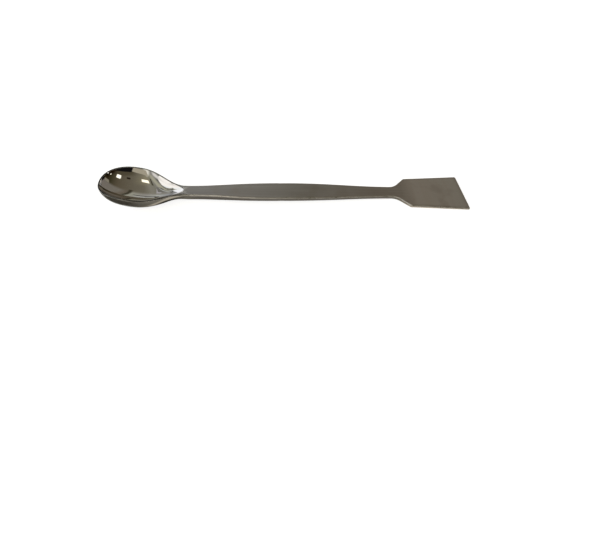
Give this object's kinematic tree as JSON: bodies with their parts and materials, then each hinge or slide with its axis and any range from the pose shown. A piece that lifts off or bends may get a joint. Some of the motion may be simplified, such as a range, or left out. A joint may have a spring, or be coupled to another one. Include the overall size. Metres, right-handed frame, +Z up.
{
  "type": "laboratory spatula",
  "caption": "Steel laboratory spatula with a deep oval bowl at one end, a flat flared blade at the other and a slim swollen handle between them.",
  "frame": {"origin": "middle of the spatula's footprint, on the table that it rests on", "axes": "+X along the spatula from its bowl towards its blade, +Z up, +Y across"},
  "size_m": [0.1798, 0.0246, 0.012],
  "materials": {
    "steel": "satin handle and blade, mirror-polished bowl"
  },
  "bodies": {
    "root": {"spatula": "steel"}
  },
  "joints": []
}
